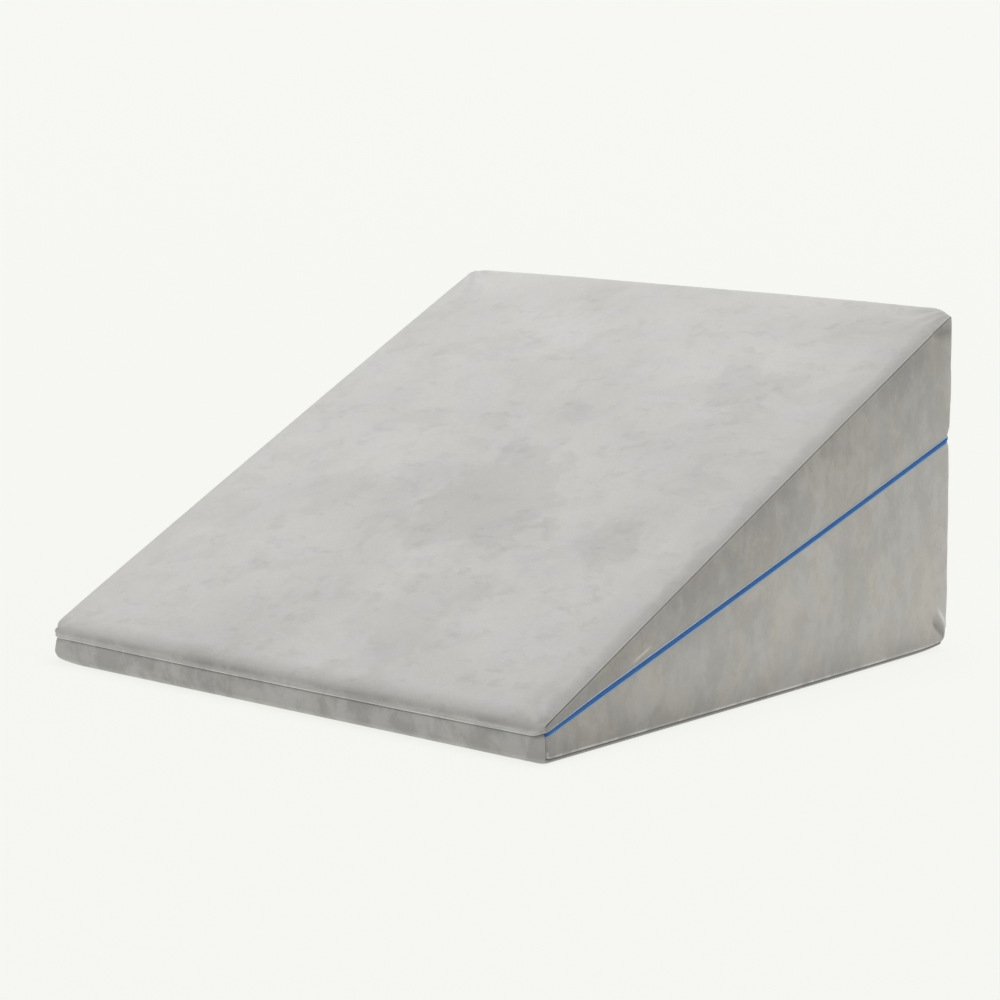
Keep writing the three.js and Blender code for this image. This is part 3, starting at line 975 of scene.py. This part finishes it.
def tape_material(look):
    """Woven tape: fine ribs along its length, crossed by finer threads, with painted shade between them,
    wear, and a painted highlight on its edges.
    """
    g = Graph("zip_tape_weave")
    weave = g.add("ShaderNodeUVMap", uv_map="weave").outputs["UV"]

    def bands(scale, direction):
        inputs = {"Vector": g.mapped(weave, scale), "Scale": 1.0}
        return g.add("ShaderNodeTexWave", inputs, bands_direction=direction).outputs["Fac"]

    ribs, threads = bands((0.0, RIBS, 0.0), "Y"), bands((THREADS, 0.0, 0.0), "X")
    woven = g.times(g.fade("ribs", ribs), g.fade("threads", threads))
    worn = g.noise(g.place(), 60.0, 3.0, 0.6)
    share = g.times(woven, g.fade("worn", worn), True)
    across = g.add("ShaderNodeSeparateXYZ", {0: weave}).outputs["Y"]
    # Painted highlight on the tape's upper and lower edges
    upper_edge = g.times(g.fade("upper edge starts", across), g.fade("upper edge ends", across))
    lower_edge = g.times(g.fade("lower edge starts", across), g.fade("lower edge ends", across))
    colour = g.blend(share, solid(look.tape_dark), solid(look.tape))
    g.surface({
        "Base Color": g.blend(g.plus(upper_edge, lower_edge, True), colour, solid(look.tape_light)),
        "Roughness": g.fade("tape roughness", woven),
        "Sheen Weight": 0.2,
        "Sheen Roughness": 0.4,
        "Sheen Tint": (0.55, 0.72, 1.0, 1.0),
        "Normal": g.bump(woven, 0.5, 0.0002),
    })
    return g.material


SCUFFED = 0.75  # brightness of the teeth between their scuffs


def teeth_material(look):
    """Moulded nylon: a soft gloss with faint scuffs."""
    g = Graph("zip_coil_nylon")
    scuffs = g.noise(g.place(), 240.0, 3.0, 0.6)
    darker = [channel * SCUFFED for channel in look.teeth]
    g.surface({
        "Base Color": g.blend(g.fade("scuffs", scuffs), solid(darker), solid(look.teeth)),
        "Roughness": g.fade("teeth roughness", scuffs),
        "Normal": g.bump(scuffs, 0.2, 0.0001),
    })
    return g.material


def floor_material(look):
    """Plain pale light table: part of its brightness is its own."""
    g = Graph("studio_floor")
    g.surface({
        "Base Color": solid([look.floor_share * part for part in look.floor]),
        "Emission Color": solid(look.floor_light),
        "Emission Strength": 1.0,
        "Roughness": 0.95,
        "Specular IOR Level": 0.1,
    })
    return g.material


# The zip

TAPE_FACE = 0.00115  # depth of the tapes' front below the side face
SWEEP_STEP = 0.004
WEAVE_HALF = 0.003  # the groove's half height, as the weave counts it


def mirrored(rows):
    """A section's rows turned over, in the order that carries on round it."""
    return [{**row, "share": -row["share"]} for row in reversed(rows)]


# Closed section of the tapes: depth below the side face, and share of the groove's half height
TAPE_OUTSIDE = table(
    "depth share",
    (0.00115, 0.5),
    (0.00115, 0.8),
    (0.0016, 1.0),
    (0.0022, 1.0),
    (0.00295, 1.0),
    (0.0042, 1.0),
)
TAPE_INSIDE = table("depth share", (0.00295, 0.45), (0.0022, 0.5), (0.0015, 0.5))
TAPE_SECTION = TAPE_OUTSIDE + mirrored(TAPE_OUTSIDE) + mirrored(TAPE_INSIDE) + TAPE_INSIDE


def zip_path(distances, s):
    """Outline points, outward directions and the run's length, from the right front seam round the back.

    The path is a chain of straight runs and circular arcs; an arc turns by its length over its radius.
    """
    end_arc = s.corner * SEAM_TURN
    corner_arc = s.corner * np.pi / 2
    side = 2 * (s.half_length - s.corner)
    back = 2 * (s.half_width - s.corner)
    lengths = np.array([end_arc, side, corner_arc, back, corner_arc, side, end_arc])
    turns = np.array([1, 0, 1, 0, 1, 0, 1]) / s.corner
    starts = np.concatenate([[0], np.cumsum(lengths)])
    headings = np.pi / 2 - SEAM_TURN + np.concatenate([[0], np.cumsum(lengths * turns)])
    span = starts[-1]
    t = np.clip(distances, 0, span)
    part = np.clip(np.searchsorted(starts, t, side="right") - 1, 0, len(lengths) - 1)
    local = t - starts[part]
    first = headings[part]
    heading = first + local * turns[part]

    def step(start, end, along, bend):
        chord = np.where(bend > 0, 0, along)
        radius = s.corner * (bend > 0)
        x = chord * np.cos(start) + radius * (np.sin(end) - np.sin(start))
        y = chord * np.sin(start) - radius * (np.cos(end) - np.cos(start))
        return np.stack([x, y], -1)

    whole = step(headings[:-1], headings[1:], lengths, turns)
    inner = np.array([s.half_width - s.corner, s.corner - s.half_length])
    origin = inner + s.corner * np.array([np.cos(SEAM_TURN), -np.sin(SEAM_TURN)])
    corners = np.concatenate([[origin], origin + np.cumsum(whole, axis=0)])
    points = corners[part] + step(first, heading, local, turns[part])
    return points, np.stack([np.sin(heading), -np.cos(heading)], -1), span


def groove_at(x, y, depth, s):
    """Middle and half height of the groove at a depth below the side face, less the gap to the cloth."""
    turned = np.clip((GROOVE[0] - depth) / GROOVE[0], 0, 1)
    opening = 1 - np.sqrt(1 - turned ** 2)
    joint = joint_height(x, y, s)
    above = top_height(x, y, s) - joint
    up = np.minimum(GROOVE_OVER[1], THIN_SHARE * above) * opening + s.gap / 2
    down = np.minimum(GROOVE[1], THIN_SHARE * joint) * opening + s.gap / 2
    return joint + (up - down) / 2, (up + down) / 2 - s.gap


def swept(section, s):
    """Points, quads and weave of a closed section carried along the zip's run, with open ends."""
    span = zip_path(np.zeros(1), s)[2]
    along = np.linspace(0, span, round(span / SWEEP_STEP) + 1)
    points, out, _ = zip_path(along, s)
    depth, share = column(section, "depth"), column(section, "share")
    edge_x, edge_y = points[:, 0, None], points[:, 1, None]
    x = edge_x - out[:, 0, None] * depth
    y = edge_y - out[:, 1, None] * depth
    middle, half = groove_at(edge_x, edge_y, depth, s)
    grid = np.stack([x, y, middle + half * share], -1)
    index = np.arange(x.size).reshape(x.shape)
    after = np.roll(index, -1, axis=1)
    quads = np.stack([index[:-1], index[1:], after[1:], after[:-1]], -1).reshape(-1, 4)
    around = np.concatenate([[0], np.cumsum(np.hypot(np.diff(depth), np.diff(share) * WEAVE_HALF))])
    uv = np.stack(np.broadcast_arrays(along[:, None], around), -1).reshape(-1, 2)
    return grid.reshape(-1, 3), quads, uv


def capped(made):
    """Closes a sweep's two ends and points its faces outwards."""
    work = bmesh.new()
    work.from_mesh(made.data)
    rims = [edge for edge in work.edges if edge.is_boundary]
    bmesh.ops.holes_fill(work, edges=rims, sides=0)
    bmesh.ops.recalc_face_normals(work, faces=work.faces)
    work.to_mesh(made.data)
    work.free()


# Rings of a tooth: place along its length, width and height as shares, and how far it stands proud
TOOTH_RINGS = table(
    "at width height proud",
    (-1, 0.25, 0.25, -0.0005),
    (-0.82, 0.78, 0.75, -0.00012),
    (-0.35, 1, 1, 0.0001),
    (0.35, 1, 1, 0.0001),
    (0.82, 0.78, 0.75, -0.00012),
    (1, 0.25, 0.25, -0.0005),
)
TOOTH = {"half_length": 0.00115, "half_width": 0.00040, "half_height": 0.00062, "sides": 6}
TEETH_DEPTH = 0.0013  # depth of the teeth's middle below the side face
TEETH_APART = 0.00042  # how far the two rows of teeth are shifted up and down
TEETH_SLANT = 0.16
TEETH_END = 0.002  # the first tooth's distance from the zip's end
TEETH_ROOM = 0.0026  # the groove's half height that a whole tooth needs


def tooth_shape():
    """One tooth of the coil, across the groove: rings of points that swell to the middle.

    Columns are along the run, outwards, and up; all in metres.
    """
    across = column(TOOTH_RINGS, "at") * TOOTH["half_length"]
    width = column(TOOTH_RINGS, "width") * TOOTH["half_width"]
    height = column(TOOTH_RINGS, "height") * TOOTH["half_height"]
    angle = np.arange(TOOTH["sides"]) * 2 * np.pi / TOOTH["sides"]
    along = width[:, None] * np.cos(angle)
    outwards = column(TOOTH_RINGS, "proud")[:, None] + height[:, None] * np.sin(angle)
    up = across[:, None] + 0 * angle
    points = np.stack([along, outwards, up], -1).reshape(-1, 3)
    index = np.arange(up.size).reshape(up.shape)
    after = np.roll(index, -1, axis=1)
    quads = np.stack([index[:-1], index[1:], after[1:], after[:-1]], -1).reshape(-1, 4)
    ends = [index[0][[0, 1, 2, 3]], index[0][[0, 3, 4, 5]], index[-1][[3, 2, 1, 0]], index[-1][[5, 4, 3, 0]]]
    return points, np.concatenate([quads, ends])


def teeth_grid(s, look):
    """All teeth of the closed zip: copies of one tooth at equal steps, shifted up and down in turn."""
    span = zip_path(np.zeros(1), s)[2]
    count = int((span - 2 * TEETH_END) / look.pitch)
    along = TEETH_END + look.pitch * np.arange(count)
    points, out, _ = zip_path(along, s)
    middle, half = groove_at(points[:, 0], points[:, 1], TEETH_DEPTH, s)
    centre = np.stack([*(points - out * TEETH_DEPTH).T, middle], -1)
    ahead = np.gradient(centre, axis=0)
    ahead /= np.linalg.norm(ahead, axis=1, keepdims=True)
    away = np.stack([*out.T, 0 * middle], -1)
    up = np.cross(away, ahead)
    up /= np.linalg.norm(up, axis=1, keepdims=True)
    shape, quads = tooth_shape()
    turn = np.where(np.arange(count) % 2, 1.0, -1.0)
    fit = np.minimum(1, half / TEETH_ROOM)
    a = shape[None, :, 0] + TEETH_SLANT * turn[:, None] * shape[None, :, 2]
    u = (shape[None, :, 2] + TEETH_APART * turn[:, None]) * fit[:, None]
    grid = centre[:, None] + a[..., None] * ahead[:, None] + shape[None, :, 1, None] * away[:, None]
    grid = grid + u[..., None] * up[:, None]
    all_quads = quads[None] + len(shape) * np.arange(count)[:, None, None]
    return grid.reshape(-1, 3), all_quads.reshape(-1, 4)


# Building the cushions

BROW_FADE = 0.034  # the painted shade on the upper side panel's brow fades over this depth below the top seam
UNDER_FADE = {"reach": 0.009, "least": 0.3}  # painted shade below the ground seam
GROUND_EDGE = {"away": 0.0017, "half": 0.0008}  # painted highlight over the ground seam
LIP_EDGE = {"height": 0.0013, "half": 0.0008, "share": 1.1}  # painted highlight over the front crease
LIP_SHADE = {"height": 0.0058, "half": 0.0028}  # painted shade in a band above it
BACK_EDGE = {"starts": 0.6, "span": 0.4, "share": 0.35}  # painted highlight on the back corners; places in corner radii


def shaped(cushion, points, normals, distance, m, s):
    """The points moved along their normals by seams, unevenness and creases, and up or down at the edges."""
    relief = seam_relief(distance, m, s)
    inner = inner_share(points, m, s)
    if cushion is LOWER:
        inner = inner * ~m["flat"]
    for row in SWELLS:
        relief += row["depth"] * waves(points, row["length"], row["seed"]) * inner
    if cushion is UPPER:
        facing_up = np.clip(normals[:, 2] * 2 - 0.6, 0, 1)
        for row in PULLED_CORNERS:
            relief += row["share"] * corner_pulls(points, row["side"], row["end"], s) * facing_up
        relief += front_lip(points, m, s) + side_creases(points, UPPER_CREASES, s)
        points[:, 2] += corner_drop(points, m, s)
    else:
        relief += side_creases(points, LOWER_CREASES, s) + ground_tuck(points, s) * m["upright_face"]
        points[:, 2] += ground_lift(points, s)
    return points + normals * relief[:, None]


def pile_values(cushion, points, normals, distance, m, s):
    """What the velour's shader reads at each point: places of painted shade and painted highlight, and
    brushed pile.
    """
    on_side, is_upper, is_lower = m["on_side"], cushion is UPPER, cushion is LOWER
    under = on_side & (m["low_arc"] > 0) & cushion["below"]["sewn"]
    over = on_side & (m["high_arc"] > 0) & cushion["above"]["sewn"]
    ground_panel = on_side & ~m["upper"] & (m["low_arc"] == 0) & is_lower
    at_front = (points[:, 1] < LIP_DEEP - s.half_length) & ~on_side
    lip = at_front & is_upper
    edge_light = bell(distance, GROUND_EDGE["half"], GROUND_EDGE["away"]) * ground_panel
    edge_light += LIP_EDGE["share"] * bell(m["over_floor"], LIP_EDGE["half"], LIP_EDGE["height"]) * lip
    past_start = points[:, 1] - s.half_length + BACK_EDGE["starts"] * s.corner
    round_back = np.clip(past_start / (BACK_EDGE["span"] * s.corner), 0, 1)
    under_share = np.clip(1 - m["low_arc"] / UNDER_FADE["reach"], UNDER_FADE["least"], 1)
    return {
        "seam_gap": distance,
        "side_panel": np.where(on_side & ~under & ~over & ~m["flat"], 1.0, 0.0),
        "under_seam": np.where(under, under_share, 0.0),
        "brow": np.exp(np.minimum(0, m["over_seam"]) / BROW_FADE) * on_side * is_upper,
        "edge_light": np.maximum(edge_light, BACK_EDGE["share"] * round_back * on_side),
        "lip_band": bell(m["over_floor"], LIP_SHADE["half"], LIP_SHADE["height"]) * lip,
        "strip": np.where(at_front & is_lower, 1.0, 0.0),
        "top_face": np.clip(3 * normals[:, 2] - 1, 0, 1) * m["upper"] * is_upper,
    }


def cushion_piece(name, cushion, s):
    """A filled cushion with its sewn lines, soft unevenness and creases."""
    xs = grid_lines(s.half_width, s.corner, s.cell, ACROSS)
    ys = grid_lines(s.half_length, s.corner, s.cell, ALONG)
    points, quads, m = cushion_surface(cushion, s, xs, ys, layer_table(cushion["crowd"]))
    normals = outward(points, quads)
    distance = seam_distance(cushion, m)
    points = shaped(cushion, points, normals, distance, m, s)
    values = pile_values(cushion, points, normals, distance, m, s)
    return mesh_object(name, placed(points, s), quads, values)


def material_once(name, make, *values):
    """The material of that name, made on first use."""
    return bpy.data.materials.get(name) or make(*values)


def velour(scene):
    sizes = scene.pillow_sizes
    return material_once("velour", velour_material, scene.pillow_cover, sizes.half_width, sizes.half_length)


class PILLOW_OT_upper_cushion(bpy.types.Operator):
    """Make the upper cushion in its velour cover."""

    bl_idname = "pillow.upper_cushion"
    bl_label = "Upper cushion"

    def execute(self, context):
        scene = context.scene
        made = cushion_piece("upper_cushion", UPPER, scene.pillow_sizes)
        finished(made, velour(scene), "upper_wedge")
        return {"FINISHED"}


class PILLOW_OT_lower_cushion(bpy.types.Operator):
    """Make the lower cushion in its velour cover."""

    bl_idname = "pillow.lower_cushion"
    bl_label = "Lower cushion"

    def execute(self, context):
        scene = context.scene
        made = cushion_piece("lower_cushion", LOWER, scene.pillow_sizes)
        finished(made, velour(scene), "lower_wedge")
        return {"FINISHED"}


class PILLOW_OT_zip_tapes(bpy.types.Operator):
    """Make the two woven tapes of the closed zip."""

    bl_idname = "pillow.zip_tapes"
    bl_label = "Zip tapes"

    def execute(self, context):
        scene = context.scene
        sizes = scene.pillow_sizes
        points, quads, uv = swept(TAPE_SECTION, sizes)
        made = mesh_object("zip_tapes", placed(points, sizes), quads, uv=uv)
        capped(made)
        weave = material_once("zip_tape_weave", tape_material, scene.pillow_zip)
        finished(made, weave, "zip_tape")
        return {"FINISHED"}


class PILLOW_OT_zip_teeth(bpy.types.Operator):
    """Make the interlocked teeth of the closed zip."""

    bl_idname = "pillow.zip_teeth"
    bl_label = "Zip teeth"

    def execute(self, context):
        scene = context.scene
        sizes = scene.pillow_sizes
        points, quads = teeth_grid(sizes, scene.pillow_zip)
        made = mesh_object("zip_teeth", placed(points, sizes), quads)
        nylon = material_once("zip_coil_nylon", teeth_material, scene.pillow_zip)
        finished(made, nylon, "zip_coil")
        return {"FINISHED"}


# The studio

SUNS = table(
    "name spread towards",
    ("key", 55, (0.12, 0.1, 1)),
    ("side", 70, (1, 0.35, 0.5)),
    ("rim", 40, (0.3, 1, 0.2)),
)
SENSOR_WIDTH = 36
FAR_CLIP = 500


def studio_world(look):
    """Even light from all round; the camera sees the floor's own tone past the floor's far edge."""
    world = bpy.data.worlds.new("studio")
    world.use_nodes = True
    tree = world.node_tree
    light = tree.nodes["Background"]
    light.inputs["Color"].default_value = solid(look.sky)
    light.inputs["Strength"].default_value = look.sky_strength
    seen = tree.nodes.new("ShaderNodeBackground")
    seen.inputs["Color"].default_value = solid(look.backdrop)
    path = tree.nodes.new("ShaderNodeLightPath")
    either = tree.nodes.new("ShaderNodeMixShader")
    tree.links.new(path.outputs["Is Camera Ray"], either.inputs[0])
    tree.links.new(light.outputs[0], either.inputs[1])
    tree.links.new(seen.outputs[0], either.inputs[2])
    tree.links.new(either.outputs[0], tree.nodes["World Output"].inputs["Surface"])
    return world


def sun(name, strength, spread, towards):
    """A soft sun in the direction towards, as wide as spread in degrees."""
    light = bpy.data.lights.new(name, "SUN")
    light.energy = strength
    light.angle = math.radians(spread)
    made = bpy.data.objects.new(name, light)
    x, y, z = towards
    made.rotation_euler = (math.atan2(math.hypot(x, y), z), 0, math.atan2(y, x) + math.pi / 2)
    bpy.context.scene.collection.objects.link(made)


def add_camera(look):
    """A camera at an azimuth, elevation and distance from its target, level with the floor."""
    data = bpy.data.cameras.new("camera")
    data.lens = look.lens
    data.sensor_width = SENSOR_WIDTH
    data.clip_end = FAR_CLIP
    made = bpy.data.objects.new("camera", data)
    a, e = look.azimuth, look.elevation
    back = np.array([math.sin(a) * math.cos(e), -math.cos(a) * math.cos(e), math.sin(e)])
    made.location = np.array(look.target) + look.distance * back
    made.rotation_euler = (math.pi / 2 - e, 0, a)
    bpy.context.scene.collection.objects.link(made)
    bpy.context.scene.camera = made


class PILLOW_OT_stage(bpy.types.Operator):
    """Make the floor, the light and the camera."""

    bl_idname = "pillow.stage"
    bl_label = "Stage"

    def execute(self, context):
        scene = context.scene
        look = scene.pillow_studio
        half = look.floor_size / 2
        corners = np.array([[-half, -half, 0], [half, -half, 0], [half, half, 0], [-half, half, 0]])
        floor = mesh_object("floor", corners, np.array([[0, 1, 2, 3]]))
        floor.data.materials.append(floor_material(look))
        scene.world = studio_world(look)
        for row in SUNS:
            sun(row["name"], getattr(look, row["name"] + "_strength"), row["spread"], row["towards"])
        scene.view_settings.view_transform = "Standard"
        add_camera(look)
        return {"FINISHED"}


class PILLOW_PT_panel(bpy.types.Panel):
    """Lists what can be made, in order."""

    bl_idname = "PILLOW_PT_panel"
    bl_label = "Leg support pillow"
    bl_space_type = "VIEW_3D"
    bl_region_type = "UI"
    bl_category = "Pillow"

    def draw(self, context):
        for operator in OPERATORS:
            self.layout.operator(operator.bl_idname)


OPERATORS = (
    PILLOW_OT_upper_cushion,
    PILLOW_OT_lower_cushion,
    PILLOW_OT_zip_tapes,
    PILLOW_OT_zip_teeth,
    PILLOW_OT_stage,
)
GROUPS = (
    ("pillow_sizes", PillowSizes),
    ("pillow_cover", CoverLook),
    ("pillow_zip", ZipLook),
    ("pillow_studio", StudioLook),
)


def register():
    for _, group in GROUPS:
        bpy.utils.register_class(group)
    for key, group in GROUPS:
        setattr(bpy.types.Scene, key, PointerProperty(type=group))
    for operator in OPERATORS:
        bpy.utils.register_class(operator)
    bpy.utils.register_class(PILLOW_PT_panel)


def unregister():
    bpy.utils.unregister_class(PILLOW_PT_panel)
    for operator in reversed(OPERATORS):
        bpy.utils.unregister_class(operator)
    for key, _ in GROUPS:
        delattr(bpy.types.Scene, key)
    for _, group in reversed(GROUPS):
        bpy.utils.unregister_class(group)


def main():
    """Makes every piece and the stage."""
    register()
    bpy.ops.pillow.upper_cushion()
    bpy.ops.pillow.lower_cushion()
    bpy.ops.pillow.zip_tapes()
    bpy.ops.pillow.zip_teeth()
    bpy.ops.pillow.stage()


if __name__ == "__main__":
    main()
